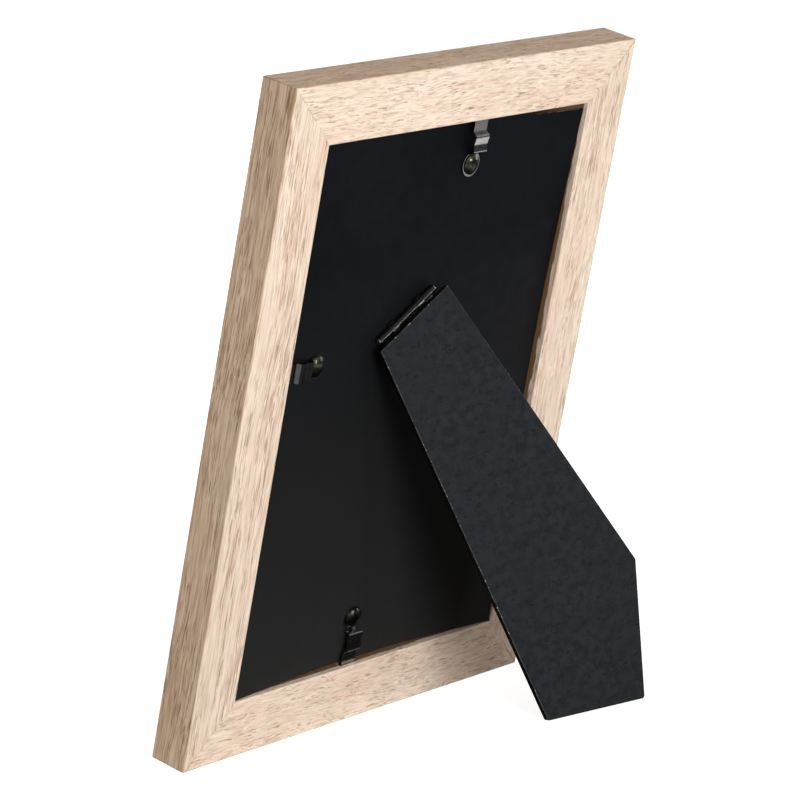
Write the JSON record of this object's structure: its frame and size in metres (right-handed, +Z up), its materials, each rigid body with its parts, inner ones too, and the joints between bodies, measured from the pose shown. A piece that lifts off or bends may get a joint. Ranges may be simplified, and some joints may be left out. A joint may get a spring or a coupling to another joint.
{
  "type": "easel back photo frame",
  "caption": "Upright picture frame with mitred rails, glass, a backboard held by turn-clips, and a folding easel leg on a slanted hinge.",
  "frame": {"origin": "middle of the footprint, on the table", "axes": "+Z up, +X to the viewer's right from the front, the picture faces -Y and leans back towards +Y, where the leg stands"},
  "size_m": [0.1956, 0.089, 0.254],
  "materials": {
    "oak_foil": "fibreboard wrapped in pale oak grain foil, matte",
    "beech_key": "bare beech",
    "clear_glass": "clear float glass with ground edges",
    "blank_card": "plain card, bare",
    "black_board": "thin fibreboard, black coated, matte",
    "black_nickel": "spring steel, dark nickel plated",
    "black_steel": "pressed steel, gloss black"
  },
  "bodies": {
    "frame": {"rail_bottom": "oak_foil", "rail_right": "oak_foil", "rail_top": "oak_foil", "rail_left": "oak_foil", "corner_key_bottom_left": "beech_key", "corner_key_bottom_right": "beech_key", "corner_key_top_right": "beech_key", "corner_key_top_left": "beech_key", "glass_pane": "clear_glass", "picture_insert": "blank_card", "backboard": "black_board", "clip_rivet_top": "black_nickel", "clip_rivet_left": "black_nickel", "clip_rivet_bottom": "black_nickel", "clip_rivet_right": "black_nickel", "hinge_board_leaf": "black_steel", "hinge_pin": "black_steel", "hinge_rivets": "black_steel"},
    "leg": {"easel_leg": "black_board", "hinge_leg_leaf": "black_steel"},
    "clip_top": {"clip_top": "black_nickel"},
    "clip_left": {"clip_left": "black_nickel"},
    "clip_bottom": {"clip_bottom": "black_nickel"},
    "clip_right": {"clip_right": "black_nickel"}
  },
  "joints": [
    {"name": "leg_hinge", "type": "hinge", "parent": "frame", "child": "leg", "pos_m": [0.011, 0.0063, 0.1583], "axis": [-0.8453, 0.1247, 0.5196], "range_deg": [0, 21.3]},
    {"name": "clip_top_turn", "type": "hinge", "parent": "frame", "child": "clip_top", "pos_m": [-0.0133, 0.01747, 0.21167], "axis": [0, 0.9724, -0.2334], "continuous": true},
    {"name": "clip_left_turn", "type": "hinge", "parent": "frame", "child": "clip_left", "pos_m": [0.057, 0.00164, 0.14574], "axis": [0, 0.9724, -0.2334], "continuous": true},
    {"name": "clip_bottom_turn", "type": "hinge", "parent": "frame", "child": "clip_bottom", "pos_m": [0.009, -0.02362, 0.04053], "axis": [0, 0.9724, -0.2334], "continuous": true},
    {"name": "clip_right_turn", "type": "hinge", "parent": "frame", "child": "clip_right", "pos_m": [-0.057, -0.00779, 0.10646], "axis": [0, 0.9724, -0.2334], "continuous": true}
  ]
}
